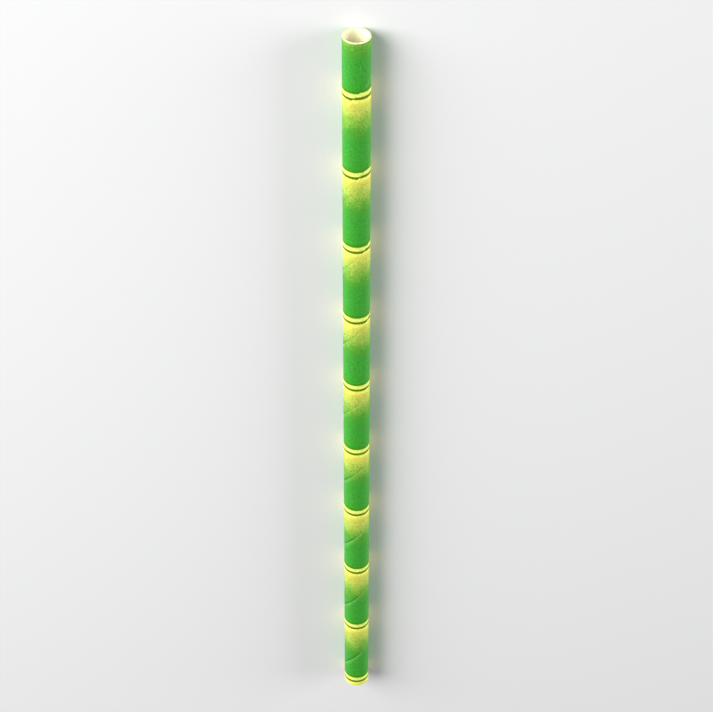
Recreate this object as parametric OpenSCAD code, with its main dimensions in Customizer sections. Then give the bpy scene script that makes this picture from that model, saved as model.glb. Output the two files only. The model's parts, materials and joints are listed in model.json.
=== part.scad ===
// Spiral-wound paper drinking straw, printed to look like a bamboo cane.
// Strips of paper are wound and glued into one tube, which is cut square at both ends.
// The straw lies on its side along X, as it comes to rest, with its drinking end at +X.

/* [Straw] */
// Length between the two cut ends
straw_length = 197; // [120:1:260]
// Diameter over the printed strip
outer_d = 6; // [5.5:0.1:12]
// Thickness of the whole wall, all its glued strips together
wall_t = 0.44; // [0.3:0.02:0.8]

/* [Hidden] */

outer_r = outer_d / 2;
bore_r = outer_r - wall_t;

// The bore runs past both cut ends by this much.
overshoot = 1;
$fn = 96;

// Lays a straw that stands at the origin on its drinking end down along X, on the ground.
module lying() {
    translate([straw_length / 2, 0, outer_r])
        rotate([0, -90, 0])
            children();
}

// The glued paper tube, open at both ends.
module straw_tube() {
    color("forestgreen")
        lying()
            difference() {
                cylinder(r = outer_r, h = straw_length);
                translate([0, 0, -overshoot])
                    cylinder(r = bore_r, h = straw_length + 2 * overshoot);
            }
}

straw_tube();
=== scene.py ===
"""The looks of a spiral-wound paper drinking straw that is printed like a green bamboo cane.

It lies along X with its drinking end at +X. Lengths are in millimetres until a mesh is scaled.
"""

import json
import math

import bmesh
import bpy
from mathutils import Matrix, Vector


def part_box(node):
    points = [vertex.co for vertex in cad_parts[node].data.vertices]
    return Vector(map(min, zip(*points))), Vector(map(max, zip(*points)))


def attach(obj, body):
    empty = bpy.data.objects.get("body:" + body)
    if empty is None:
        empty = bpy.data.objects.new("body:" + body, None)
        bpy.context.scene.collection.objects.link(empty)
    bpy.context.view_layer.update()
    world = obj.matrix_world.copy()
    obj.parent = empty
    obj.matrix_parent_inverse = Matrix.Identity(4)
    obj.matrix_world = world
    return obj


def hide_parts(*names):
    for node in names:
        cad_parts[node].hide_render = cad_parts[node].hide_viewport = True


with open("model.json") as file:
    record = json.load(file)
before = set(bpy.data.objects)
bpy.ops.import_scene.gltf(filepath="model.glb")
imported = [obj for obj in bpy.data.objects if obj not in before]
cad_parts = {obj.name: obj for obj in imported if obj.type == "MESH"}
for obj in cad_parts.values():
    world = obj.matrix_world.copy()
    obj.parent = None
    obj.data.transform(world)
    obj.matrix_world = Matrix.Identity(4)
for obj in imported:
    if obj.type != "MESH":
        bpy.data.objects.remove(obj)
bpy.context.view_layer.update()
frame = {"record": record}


# Paper fibre, which both papers have: matted fibres a few hundredths of a millimetre thick, in three
# directions, over a soft cloudiness of the sheet. Sheet coordinates are in mm, and the fibres are the
# ridges of a drawn-out noise, which has a layer of its own for each direction.
FIBRES_A_MM = 13.0
FIBRE_LEANS = (8, 67, -52)
FIBRE_SHARPNESS = 5.0


def put(tree, kind, inputs=None, **settings):
    """Adds a node, gives it its settings, and feeds its inputs from sockets or from plain values."""
    added = tree.nodes.new(kind)
    for name, value in settings.items():
        setattr(added, name, value)
    for name, value in (inputs or {}).items():
        if isinstance(value, bpy.types.NodeSocket):
            tree.links.new(value, added.inputs[name])
        else:
            added.inputs[name].default_value = value
    return added


def calc(tree, operation, *values):
    """The output of a Math node on sockets or numbers."""
    return put(tree, "ShaderNodeMath", dict(enumerate(values)), operation=operation).outputs[0]


fibre = bpy.data.node_groups.new("paper_fibre", "ShaderNodeTree")
fibre.interface.new_socket("Sheet", in_out="INPUT", socket_type="NodeSocketVector")
fibre.interface.new_socket("Fibre Length", in_out="INPUT", socket_type="NodeSocketFloat")
fibre.interface.new_socket("Fibres", in_out="OUTPUT", socket_type="NodeSocketFloat")
fibre.interface.new_socket("Cloud", in_out="OUTPUT", socket_type="NodeSocketFloat")
fibre_in = put(fibre, "NodeGroupInput").outputs
strands = None
for lean in FIBRE_LEANS:
    turned = put(
        fibre,
        "ShaderNodeMapping",
        {"Vector": fibre_in["Sheet"], "Rotation": (0, 0, math.radians(lean))},
    )
    along, across, _ = put(fibre, "ShaderNodeSeparateXYZ", {"Vector": turned.outputs["Vector"]}).outputs
    drawn = put(
        fibre,
        "ShaderNodeCombineXYZ",
        {
            "X": calc(fibre, "DIVIDE", along, fibre_in["Fibre Length"]),
            "Y": calc(fibre, "MULTIPLY", across, FIBRES_A_MM),
            "Z": float(lean),
        },
    )
    noise = put(
        fibre, "ShaderNodeTexNoise", {"Vector": drawn.outputs[0], "Scale": 1.0, "Detail": 1.0}
    ).outputs["Fac"]
    off_ridge = calc(fibre, "MULTIPLY_ADD", noise, FIBRE_SHARPNESS, -FIBRE_SHARPNESS / 2)
    ridge = calc(fibre, "MAXIMUM", calc(fibre, "SUBTRACT", 1.0, calc(fibre, "ABSOLUTE", off_ridge)), 0.0)
    strands = ridge if strands is None else calc(fibre, "MAXIMUM", strands, ridge)
cloud = put(
    fibre, "ShaderNodeTexNoise", {"Vector": fibre_in["Sheet"], "Scale": 1.6, "Detail": 3.0}
).outputs["Fac"]
put(fibre, "NodeGroupOutput", {"Fibres": strands, "Cloud": cloud})


# White paper tube: the plain strips that are wound and glued under the printed one. It shows inside the
# straw and at its two ends, where the knife leaves the edges square and a little soft.
MM = 0.001
STRIP_T = 0.1
GLUE_T = 0.005
CUT_SOFTNESS = 0.03
STEPS_A_TURN = 96
TUBE_RINGS = 32
END_TOLERANCE = 0.001
SQUARE_EDGE = math.radians(60)
SMOOTH_EDGE = math.radians(40)

low, high = (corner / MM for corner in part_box("straw_tube"))
straw_length = high.x - low.x
end_x = straw_length / 2
outer_r = (high.z - low.z) / 2
axis_z = (high.z + low.z) / 2
axis_point = Vector((0, 0, axis_z))
core_r = outer_r - STRIP_T - GLUE_T
mounts = {mount["name"]: mount for mount in frame["record"]["mounts"]}
bore_r = mounts["bore"]["dims"]["r_mm"]


def around(place):
    """The angle of a place round the straw, from straight up towards +Y, and its distance from the axis."""
    y, z = place.y, place.z - axis_z
    return math.atan2(y, z), math.hypot(y, z)


def from_bm(bm, name):
    """Turns a bmesh made in millimetres into a smooth-shaded object in metres at the origin."""
    bmesh.ops.scale(bm, vec=(MM, MM, MM), verts=bm.verts)
    mesh = bpy.data.meshes.new(name)
    bm.to_mesh(mesh)
    bm.free()
    mesh.shade_smooth()
    mesh.set_sharp_from_angle(angle=SMOOTH_EDGE)
    piece = bpy.data.objects.new(name, mesh)
    bpy.context.scene.collection.objects.link(piece)
    return piece


bm = bmesh.new()
section = [
    bm.verts.new((x, 0, axis_z + r))
    for x, r in ((end_x, bore_r), (end_x, core_r), (-end_x, core_r), (-end_x, bore_r))
]
for corner, neighbour in zip(section, section[1:] + section[:1]):
    bm.edges.new((corner, neighbour))
walls = [edge for edge in bm.edges if edge.calc_length() > 2 * core_r]
bmesh.ops.subdivide_edges(bm, edges=walls, cuts=TUBE_RINGS - 1)
bmesh.ops.spin(
    bm,
    geom=bm.verts[:] + bm.edges[:],
    cent=axis_point,
    axis=(1, 0, 0),
    angle=math.tau,
    steps=STEPS_A_TURN,
    use_merge=True,
)
bmesh.ops.recalc_face_normals(bm, faces=bm.faces)
rims = [
    edge
    for edge in bm.edges
    if all(abs(vert.co.x) > end_x - END_TOLERANCE for vert in edge.verts)
    and edge.calc_face_angle() > SQUARE_EDGE
]
bmesh.ops.bevel(
    bm, geom=rims, offset=CUT_SOFTNESS, segments=3, profile=0.5, affect="EDGES", material=-1
)

# The tube's sheet coordinates, in mm, run along it and round it. The second map spreads it over a square
# for baking: the bore in four lengths, the hidden outside in four narrow ones, then the two rims.
BAKE_RUNS = 4
BORE_ROW, OUTSIDE_ROW, RIM_ROW, ROW_GAP = 16.1, 3.0, 1.6, 0.4
MAP_MARGIN = 0.005

sheet_map = bm.loops.layers.uv.new("sheet")
bake_map = bm.loops.layers.uv.new("OFBake")
run_length = straw_length / BAKE_RUNS
rows = [BORE_ROW] * BAKE_RUNS + [OUTSIDE_ROW] * BAKE_RUNS + [RIM_ROW] * 2
row_starts = [sum(rows[:i]) + ROW_GAP * (i + 0.5) for i in range(len(rows))]
map_height = sum(rows) + ROW_GAP * len(rows)
rim_width = core_r - bore_r + 2 * CUT_SOFTNESS
for face in bm.faces:
    middle = face.calc_center_median()
    middle_angle, middle_r = around(middle)
    on_rim = all(abs(vert.co.x) > end_x - CUT_SOFTNESS - END_TOLERANCE for vert in face.verts)
    inner_edge = middle_r < bore_r + CUT_SOFTNESS
    outside = middle_r > (bore_r + core_r) / 2
    run = min(int((end_x - middle.x) / run_length), BAKE_RUNS - 1)
    if on_rim:
        row = 2 * BAKE_RUNS + (middle.x < 0)
    else:
        row = run + (BAKE_RUNS if outside else 0)
    for loop in face.loops:
        angle, r = around(loop.vert.co)
        share_round = (angle + math.tau * round((middle_angle - angle) / math.tau)) / math.tau + 0.5
        along = end_x - loop.vert.co.x
        if on_rim:
            inset = end_x - abs(loop.vert.co.x)
            into_rim = r - bore_r + (-inset if inner_edge else inset)
            along -= into_rim
            place = (share_round, (into_rim + CUT_SOFTNESS) / rim_width)
        else:
            place = (along / run_length - run, share_round)
        loop[sheet_map].uv = (along, share_round * math.tau * bore_r)
        loop[bake_map].uv = (
            MAP_MARGIN + (1 - 2 * MAP_MARGIN) * place[0],
            (row_starts[row] + rows[row] * place[1]) / map_height,
        )
core = from_bm(bm, "paper_core")

# The white paper is uncoated and cream and a little uneven in tone. At the cut edges it is darker. This is
# partly painted shade of the rough cut fibres shading each other, and partly ink and dust they soak up. The
# edge of the innermost strip is a faint line that winds through the bore.
STRIP_W = 14.2
INNER_LINE_W = 0.006
CUT_TINT_FULL, CUT_TINT_GONE = 0.01, 0.08
PAPER_FIBRE_LENGTH = 1.2
PAPER_RELIEF = 0.00001

circumference = math.tau * outer_r
seam_lean = math.acos(STRIP_W / circumference)
seam_pitch = circumference / math.tan(seam_lean)


def ranged(tree, value, from_low, from_high, to_low=0.0, to_high=1.0):
    """A value carried smoothly from one range to another, and held at its ends."""
    inputs = {
        "Value": value,
        "From Min": from_low,
        "From Max": from_high,
        "To Min": to_low,
        "To Max": to_high,
    }
    return put(tree, "ShaderNodeMapRange", inputs, interpolation_type="SMOOTHSTEP").outputs["Result"]


def ink(red, green, blue):
    """A colour as a printer's swatch gives it, from 0 to 255, for a shader."""
    parts = (channel / 255 for channel in (red, green, blue))
    return (*(p / 12.92 if p <= 0.04045 else ((p + 0.055) / 1.055) ** 2.4 for p in parts), 1)


def tinted(tree, factor, colour, tint, blend="MIX"):
    """A colour with a tint laid over it, by a factor from 0 to 1."""
    inputs = {"Factor": factor, "A": colour, "B": tint}
    return put(tree, "ShaderNodeMix", inputs, data_type="RGBA", blend_type=blend).outputs["Result"]


white_paper = bpy.data.materials.new("white_paper")
white_paper.use_nodes = True
tree = white_paper.node_tree
shader = tree.nodes["Principled BSDF"]
sheet = put(tree, "ShaderNodeUVMap", uv_map="sheet").outputs["UV"]
grain = put(
    tree, "ShaderNodeGroup", {"Sheet": sheet, "Fibre Length": PAPER_FIBRE_LENGTH}, node_tree=fibre
).outputs
length_along, length_around, _ = put(tree, "ShaderNodeSeparateXYZ", {"Vector": sheet}).outputs
turns = calc(
    tree,
    "SUBTRACT",
    calc(tree, "DIVIDE", length_along, seam_pitch),
    calc(tree, "DIVIDE", length_around, math.tau * bore_r),
)
off_line = calc(tree, "ABSOLUTE", calc(tree, "SUBTRACT", calc(tree, "FRACT", turns), 0.5))
inner_line = ranged(tree, off_line, 0.0, INNER_LINE_W, 1.0, 0.0)
tone = calc(tree, "MULTIPLY_ADD", grain["Cloud"], 0.5, 0.25)
tone = calc(tree, "MULTIPLY_ADD", grain["Fibres"], 0.35, tone)
tone = calc(tree, "MULTIPLY_ADD", inner_line, -0.5, tone)
paper_colour = tinted(tree, tone, ink(246, 241, 197), ink(252, 251, 222))
here = put(tree, "ShaderNodeTexCoord").outputs["Object"]
here_x = put(tree, "ShaderNodeSeparateXYZ", {"Vector": here}).outputs["X"]
to_end = calc(tree, "MULTIPLY_ADD", calc(tree, "ABSOLUTE", here_x), -1 / MM, end_x)
# The cut edges are darkened, partly as painted shade of the rough cut fibres and partly by ink and dust they
# soak up.
cut_shade_and_dust = ranged(tree, to_end, CUT_TINT_FULL, CUT_TINT_GONE, 1.0, 0.0)
paper_colour = tinted(tree, cut_shade_and_dust, paper_colour, ink(228, 230, 208), "MULTIPLY")
tree.links.new(paper_colour, shader.inputs["Base Color"])
height = calc(tree, "MULTIPLY_ADD", inner_line, -1.5, grain["Fibres"])
bump = put(tree, "ShaderNodeBump", {"Height": height, "Strength": 0.35, "Distance": PAPER_RELIEF})
tree.links.new(bump.outputs["Normal"], shader.inputs["Normal"])
shader.inputs["Roughness"].default_value = 0.85
core.data.materials.append(white_paper)

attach(core, "root")
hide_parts("straw_tube")


# Printed strip: the last strip of paper, wound edge to edge over the white tube as a right-handed screw.
# Its butted edges are pressed down a little, and the closed seam between them wanders a little.
SEAM_GAP = 0.004
SEAM_ANGLE = math.radians(144)
EDGE_DROP = 0.045
SLIVER = 0.003

# Each sway of the seam has its reach in mm and its waves to a radian of winding.
SEAM_SWAYS = ((0.045, 0.31), (0.02, 1.3), (0.007, 3.7))
SWAY_RUN_IN = 2.0

# The strip's width is split at these shares up to its middle, closely where its edge is pressed down, and
# in the mirrored way past it.
COLUMNS = (0, 0.005, 0.011, 0.018, 0.027, 0.06, 0.12, 0.25, 0.375, 0.5)
DROP_WIDTH = COLUMNS[4]
SWAY_WIDTH = COLUMNS[3]
LEAD_IN_STEPS = 4

columns = [*COLUMNS, *(1 - share for share in reversed(COLUMNS[:-1]))]
step_angle = math.tau / STEPS_A_TURN
first_angle = SEAM_ANGLE - math.tau - LEAD_IN_STEPS * step_angle
winding_steps = math.ceil((straw_length / seam_pitch + 1) * STEPS_A_TURN) + 2 * LEAD_IN_STEPS


def strip_start(angle):
    """How far from the drinking end the strip's near edge lies, at an angle that counts whole turns."""
    return (angle - SEAM_ANGLE) / math.tau * seam_pitch


bm = bmesh.new()
across = bm.verts.layers.float.new("across")
profile = []
for share in columns:
    from_end = strip_start(first_angle) + SEAM_GAP / 2 + share * (seam_pitch - SEAM_GAP)
    place = (end_x - from_end, outer_r * math.sin(first_angle), axis_z + outer_r * math.cos(first_angle))
    profile.append(bm.verts.new(place))
    profile[-1][across] = share
for vert, neighbour in zip(profile, profile[1:]):
    bm.edges.new((vert, neighbour))
bmesh.ops.spin(
    bm,
    geom=bm.verts[:] + bm.edges[:],
    cent=axis_point,
    axis=(-1, 0, 0),
    dvec=(-seam_pitch / STEPS_A_TURN, 0, 0),
    angle=winding_steps * step_angle,
    steps=winding_steps,
)

# The knife cuts both ends square, and the slivers of mesh that it leaves are taken out.
for side in (1, -1):
    bmesh.ops.bisect_plane(
        bm,
        geom=bm.verts[:] + bm.edges[:] + bm.faces[:],
        plane_co=(side * end_x, 0, 0),
        plane_no=(side, 0, 0),
        clear_outer=True,
    )
bmesh.ops.dissolve_degenerate(bm, dist=SLIVER, edges=bm.edges)
bmesh.ops.recalc_face_normals(bm, faces=bm.faces)
bmesh.ops.solidify(bm, geom=bm.faces[:], thickness=STRIP_T)


def winding_angle(vert):
    """A vertex's angle round the straw, counted in whole turns along the winding."""
    angle = around(vert.co)[0]
    reached = (end_x - vert.co.x - vert[across] * seam_pitch) / seam_pitch * math.tau + SEAM_ANGLE
    return angle + math.tau * round((reached - angle) / math.tau)


# The pressed edges: the outer skin curves down beside the seam. Both edges sway together, but not where
# the straw is cut off.
for vert in bm.verts:
    edge_share = min(vert[across], 1 - vert[across])
    r = around(vert.co)[1]
    if r > outer_r - STRIP_T / 2:
        lowered = r - EDGE_DROP * max(0, 1 - edge_share / DROP_WIDTH) ** 2
        vert.co.y *= lowered / r
        vert.co.z = axis_z + (vert.co.z - axis_z) * lowered / r
    seam_turn = winding_angle(vert) + (math.tau if vert[across] > 0.5 else 0)
    sway = sum(reach * math.sin(waves * seam_turn + waves) for reach, waves in SEAM_SWAYS)
    held = min(1, (end_x - abs(vert.co.x)) / SWAY_RUN_IN)
    vert.co.x += sway * held * max(0, 1 - edge_share / SWAY_WIDTH)

# The strip's sheet coordinates, in mm, run across it and along it. The second map lays its turns side by
# side for baking, four to a row: the print, a cut edge, the glued side drawn narrower, the other edge.
TURNS_A_ROW = 4
TURN_ROWS = 3
EDGE_SLOT, GLUED_SLOT, SLOT_GAP = 0.8, 2.0, 0.3
CUT_SPREAD = 4
FACES_OUT, FACES_END = 0.5, 0.7

winding_length = math.hypot(circumference, seam_pitch)
sheet_map = bm.loops.layers.uv.new("sheet")
bake_map = bm.loops.layers.uv.new("OFBake")
far_edge_start = STRIP_W + SLOT_GAP
glued_start = far_edge_start + EDGE_SLOT + SLOT_GAP
near_edge_start = glued_start + GLUED_SLOT + SLOT_GAP
turn_width = near_edge_start + EDGE_SLOT + SLOT_GAP
for face in bm.faces:
    middle = face.calc_center_median()
    outwards = face.normal.dot(Vector((0, middle.y, middle.z - axis_z)).normalized())
    at_end = all(abs(vert.co.x) > end_x - END_TOLERANCE for vert in face.verts)
    cut_face = at_end and abs(face.normal.x) > FACES_END
    far_side = sum(vert[across] for vert in face.verts) / len(face.verts) > 0.5
    face.material_index = 0 if outwards > FACES_OUT and not cut_face else 1
    turns_done = sum(winding_angle(vert) for vert in face.verts) / len(face.verts) - first_angle
    cell = int(turns_done / math.tau)
    for loop in face.loops:
        share, angle = loop.vert[across], winding_angle(loop.vert)
        depth = outer_r - around(loop.vert.co)[1]
        length_wound = (end_x - loop.vert.co.x) * seam_pitch + angle * outer_r * circumference
        loop[sheet_map].uv = (share * STRIP_W, length_wound / winding_length)
        if cut_face:
            place = share * STRIP_W + depth * CUT_SPREAD * (-1 if middle.x > 0 else 1)
            place = min(max(place, 0), STRIP_W)
        elif outwards > FACES_OUT:
            place = share * STRIP_W
        elif outwards < -FACES_OUT:
            place = glued_start + (1 - share) * GLUED_SLOT
        elif far_side:
            place = far_edge_start + depth / STRIP_T * EDGE_SLOT
        else:
            place = near_edge_start + (1 - depth / STRIP_T) * EDGE_SLOT
        share_of_turn = (angle - first_angle) / math.tau - cell
        loop[bake_map].uv = (
            (cell % TURNS_A_ROW + (place + SLOT_GAP / 2) / turn_width) / TURNS_A_ROW,
            (cell // TURNS_A_ROW + MAP_MARGIN + (1 - 2 * MAP_MARGIN) * share_of_turn) / TURN_ROWS,
        )
strip = from_bm(bm, "printed_strip")

# The print is green, with a light band, a dark line and a yellow glow that breaks up into the green as a
# sponged crosshatch under each bamboo node. The ink soaks in and dries almost matt.
FIRST_NODE = 13.6
NODE_PITCH = 20.2
PRINT_STEP = 0.26
LINE_WANDER = 0.14
LEAD = 4.0

# Each field of the print starts at a distance past its node's dark line, in mm, with its ink.
FIELDS = (
    (-LEAD, ink(58, 152, 42)),
    (-2.15, ink(56, 154, 40)),
    (-1.80, ink(58, 130, 12)),
    (-1.50, ink(72, 128, 2)),
    (-1.32, ink(196, 218, 92)),
    (-1.17, ink(226, 243, 118)),
    (-0.40, ink(226, 240, 112)),
    (-0.29, ink(94, 116, 0)),
    (0.27, ink(94, 116, 0)),
    (0.38, ink(232, 241, 108)),
    (1.00, ink(232, 236, 102)),
    (1.40, ink(210, 209, 84)),
    (2.1, ink(210, 217, 100)),
    (3.2, ink(192, 207, 92)),
    (4.4, ink(171, 200, 85)),
    (5.6, ink(146, 190, 74)),
    (6.8, ink(120, 179, 58)),
    (8.0, ink(97, 169, 52)),
    (9.2, ink(75, 160, 45)),
    (11.2, ink(58, 152, 42)),
)

printed_paper = bpy.data.materials.new("printed_paper")
printed_paper.use_nodes = True
tree = printed_paper.node_tree
shader = tree.nodes["Principled BSDF"]
sheet = put(tree, "ShaderNodeUVMap", uv_map="sheet").outputs["UV"]
sheet_across = put(tree, "ShaderNodeSeparateXYZ", {"Vector": sheet}).outputs["X"]
here = put(tree, "ShaderNodeTexCoord").outputs["Object"]
here_x = put(tree, "ShaderNodeSeparateXYZ", {"Vector": here}).outputs["X"]
from_end = calc(tree, "MULTIPLY_ADD", here_x, -1 / MM, end_x)
grain = put(
    tree, "ShaderNodeGroup", {"Sheet": sheet, "Fibre Length": PAPER_FIBRE_LENGTH}, node_tree=fibre
).outputs

# The print was laid a hair askew on the strip, so its lines step where two turns meet.
askew = calc(tree, "MULTIPLY_ADD", sheet_across, -PRINT_STEP / STRIP_W, PRINT_STEP / 2)
wander = put(tree, "ShaderNodeTexNoise", {"Vector": here, "Scale": 260.0, "Detail": 2.0}).outputs["Fac"]
past_line = calc(tree, "ADD", calc(tree, "ADD", from_end, askew), LEAD - FIRST_NODE)
past_line = calc(tree, "MULTIPLY_ADD", calc(tree, "SUBTRACT", wander, 0.5), LINE_WANDER, past_line)
past_line = calc(tree, "WRAP", past_line, NODE_PITCH, 0.0)

# The crosshatch: two sets of strokes that darken the fade, and shift its fields to and fro so that yellow
# and green break up into each other. Broad patches shift them too.
HATCH_LEAN = math.radians(42)
HATCH_SHIFT, PATCH_SHIFT = 8.0, 3.5


def slanting_strokes(lean):
    """Short strokes that lean from the straw's axis by an angle, from about 0.25 to 0.75."""
    turned = put(tree, "ShaderNodeMapping", {"Vector": sheet, "Rotation": (0, 0, seam_lean + lean)})
    stretched = put(tree, "ShaderNodeMapping", {"Vector": turned.outputs[0], "Scale": (1.4, 4.8, 1)})
    inputs = {"Vector": stretched.outputs[0], "Scale": 1.0, "Detail": 1.5, "Roughness": 0.6}
    return put(tree, "ShaderNodeTexNoise", inputs).outputs["Fac"]


strokes = [slanting_strokes(HATCH_LEAN), slanting_strokes(-HATCH_LEAN)]
hatch = calc(tree, "SUBTRACT", calc(tree, "ADD", *strokes), 1.0)
marks = calc(tree, "MAXIMUM", *(ranged(tree, stroke, 0.50, 0.66) for stroke in strokes))
patches = put(tree, "ShaderNodeTexNoise", {"Vector": here, "Scale": 420.0, "Detail": 1.0}).outputs["Fac"]
patches = calc(tree, "SUBTRACT", patches, 0.5)
in_fade = calc(
    tree,
    "MULTIPLY",
    ranged(tree, past_line, LEAD + 1.0, LEAD + 2.2),
    ranged(tree, past_line, LEAD + 7.5, LEAD + 12.0, 1.0, 0.0),
)
shift = calc(tree, "MULTIPLY_ADD", patches, PATCH_SHIFT, calc(tree, "MULTIPLY", hatch, HATCH_SHIFT))
reading = calc(tree, "MULTIPLY_ADD", shift, in_fade, past_line)
reading = calc(tree, "MAXIMUM", reading, calc(tree, "MINIMUM", past_line, LEAD + 1.0))
reading = calc(tree, "MINIMUM", calc(tree, "DIVIDE", reading, NODE_PITCH), 0.999)
print_ramp = put(tree, "ShaderNodeValToRGB", {"Fac": reading})
stops = print_ramp.color_ramp.elements
stops[0].color = FIELDS[0][1]
stops.remove(stops[1])
for start, colour in FIELDS[1:]:
    stops.new((start + LEAD) / NODE_PITCH).color = colour
printed = print_ramp.outputs["Color"]

# Ochre gathers under the lower yellow band, and the plain green is clouded with a bluer one.
ochre = calc(
    tree,
    "MULTIPLY",
    ranged(tree, past_line, LEAD + 0.7, LEAD + 1.3),
    ranged(tree, past_line, LEAD + 1.7, LEAD + 3.4, 1.0, 0.0),
)
ochre = calc(tree, "MULTIPLY", ochre, ranged(tree, patches, -0.06, 0.14, 0.0, 0.3))
printed = tinted(tree, ochre, printed, ink(236, 202, 76))
blueing = calc(
    tree,
    "MULTIPLY",
    ranged(tree, grain["Cloud"], 0.42, 0.72, 0.0, 0.45),
    ranged(tree, past_line, LEAD + 4.0, LEAD + 9.0),
)
printed = tinted(tree, blueing, printed, ink(62, 158, 78))
printed = tinted(tree, calc(tree, "MULTIPLY", marks, in_fade), printed, ink(212, 214, 170), "MULTIPLY")

# Where two turns meet, painted shade darkens the strip's far edge. It stands for the shade of the pressed
# groove, with some ink gathered in its crease. A painted highlight lightens the near edge. Both show less in
# the yellow.
CREASE_SHADE_START, CREASE_SHADE_FULL = STRIP_W - 0.60, STRIP_W - 0.05
SEAM_HIGHLIGHT_WIDTH = 1.20

in_green = calc(
    tree,
    "MAXIMUM",
    ranged(tree, past_line, LEAD + 3.5, LEAD + 9.0, 0.15, 1.0),
    ranged(tree, past_line, LEAD - 2.4, LEAD - 1.8, 1.0, 0.15),
)
seam_shading_strength = calc(tree, "MULTIPLY", ranged(tree, patches, -0.16, 0.10, 0.35, 0.9), in_green)
# Painted shade along the seam's far edge, with some ink gathered in the crease.
crease_ink_and_painted_shade = calc(tree, "MULTIPLY", ranged(tree, sheet_across, CREASE_SHADE_START, CREASE_SHADE_FULL), seam_shading_strength)
printed = tinted(tree, crease_ink_and_painted_shade, printed, ink(146, 176, 160), "MULTIPLY")
# Painted highlight along the seam's near edge.
painted_seam_highlight = calc(tree, "MULTIPLY", ranged(tree, sheet_across, 0.0, SEAM_HIGHLIGHT_WIDTH, 0.25, 0.0), seam_shading_strength)
printed = tinted(tree, painted_seam_highlight, printed, ink(150, 220, 120))

# Light and shade of the print: the crosshatch goes on faintly, and the ink is thin on the fibres.
speck = calc(tree, "MULTIPLY_ADD", grain["Fibres"], 0.14, 0.95)
shade = calc(tree, "MULTIPLY", calc(tree, "MULTIPLY_ADD", hatch, 0.9, 1.0), speck)
shade_colour = put(tree, "ShaderNodeCombineColor", {"Red": shade, "Green": shade, "Blue": shade}).outputs[0]
printed = tinted(tree, 1.0, printed, shade_colour, "MULTIPLY")

# White paper shows through where the knife frayed the print at both ends.
FRAY_REACH = 0.22

fray_noise = put(tree, "ShaderNodeTexNoise", {"Vector": here, "Scale": 3200.0, "Detail": 2.0}).outputs["Fac"]
to_end = calc(tree, "MULTIPLY_ADD", calc(tree, "ABSOLUTE", here_x), -1 / MM, end_x)
frayed = ranged(tree, calc(tree, "MULTIPLY_ADD", fray_noise, -FRAY_REACH, to_end), -0.06, 0.02, 1.0, 0.0)
printed = tinted(tree, frayed, printed, ink(250, 248, 220))

tree.links.new(printed, shader.inputs["Base Color"])
tree.links.new(calc(tree, "MULTIPLY_ADD", grain["Cloud"], 0.16, 0.42), shader.inputs["Roughness"])
shader.inputs["Specular IOR Level"].default_value = 0.2
bump = put(tree, "ShaderNodeBump", {"Height": grain["Fibres"], "Strength": 0.25, "Distance": PAPER_RELIEF})
tree.links.new(bump.outputs["Normal"], shader.inputs["Normal"])
strip.data.materials.append(printed_paper)
strip.data.materials.append(white_paper)

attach(strip, "root")
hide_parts("straw_tube")


# Camera: the photograph looks down past the straw's open end. The straw lies down here, so the camera
# keeps its place beside the straw and its own up is the way to the drinking end.
SIGHT_LEAN = math.radians(55.7)
SIGHT_DISTANCE = 484.0
LENS = 120.5

open_end = Vector((end_x, 0, axis_z))
far_end = Vector((-end_x, 0, axis_z))
eye = open_end + SIGHT_DISTANCE * Vector((math.cos(SIGHT_LEAN), 0, math.sin(SIGHT_LEAN)))
aim = ((open_end - eye).normalized() + (far_end - eye).normalized()).normalized()
camera_back = -aim
camera_up = (Vector((1, 0, 0)) - camera_back * camera_back.x).normalized()
camera_right = camera_up.cross(camera_back)
turn = Matrix((camera_right, camera_up, camera_back)).transposed().to_4x4()

camera_data = bpy.data.cameras.new("photo_camera")
camera_data.lens = LENS
camera_data.clip_start = 0.01
camera = bpy.data.objects.new("photo_camera", camera_data)
camera.matrix_world = Matrix.Translation(eye * MM) @ turn
bpy.context.scene.collection.objects.link(camera)
bpy.context.scene.camera = camera


# Light: a broad soft lamp on the picture's left, above and beyond the open end, a weaker one low on its
# right, and a pale surround. The picture's left is +Y. The plain view transform keeps the vivid inks.
def soft_lamp(name, towards, distance, size, power):
    """A square lamp that faces the middle of the straw from a direction, with its distance and size in mm."""
    data = bpy.data.lights.new(name, "AREA")
    data.energy = power
    data.size = size * MM
    lamp = bpy.data.objects.new(name, data)
    place = Vector(towards).normalized() * distance
    lamp.matrix_world = Matrix.Translation(place * MM) @ place.to_track_quat("Z", "Y").to_matrix().to_4x4()
    bpy.context.scene.collection.objects.link(lamp)


soft_lamp("key_lamp", towards=(0.50, 0.74, 0.46), distance=1100, size=900, power=22.0)
soft_lamp("fill_lamp", towards=(0.25, -0.97, 0.10), distance=1100, size=700, power=17.0)

surround = bpy.data.worlds.new("surround")
surround.use_nodes = True
background = surround.node_tree.nodes["Background"]
background.inputs["Color"].default_value = (0.97, 0.98, 1.0, 1)
background.inputs["Strength"].default_value = 0.20
bpy.context.scene.world = surround
bpy.context.scene.view_settings.view_transform = "Standard"


# Floor: a plain pale sheet under the straw, for its shadow and the light that comes back up. It runs far
# past the picture.
FLOOR_SIDE = 4000

floor_mesh = bpy.data.meshes.new("floor")
floor_bm = bmesh.new()
bmesh.ops.create_grid(floor_bm, x_segments=1, y_segments=1, size=FLOOR_SIDE / 2 * MM)
floor_bm.to_mesh(floor_mesh)
floor_bm.free()
floor = bpy.data.objects.new("floor", floor_mesh)
bpy.context.scene.collection.objects.link(floor)
floor_material = bpy.data.materials.new("pale_floor")
floor_material.use_nodes = True
floor_shader = floor_material.node_tree.nodes["Principled BSDF"]
floor_shader.inputs["Base Color"].default_value = (0.80, 0.80, 0.80, 1)
floor_shader.inputs["Roughness"].default_value = 0.9
floor_mesh.materials.append(floor_material)
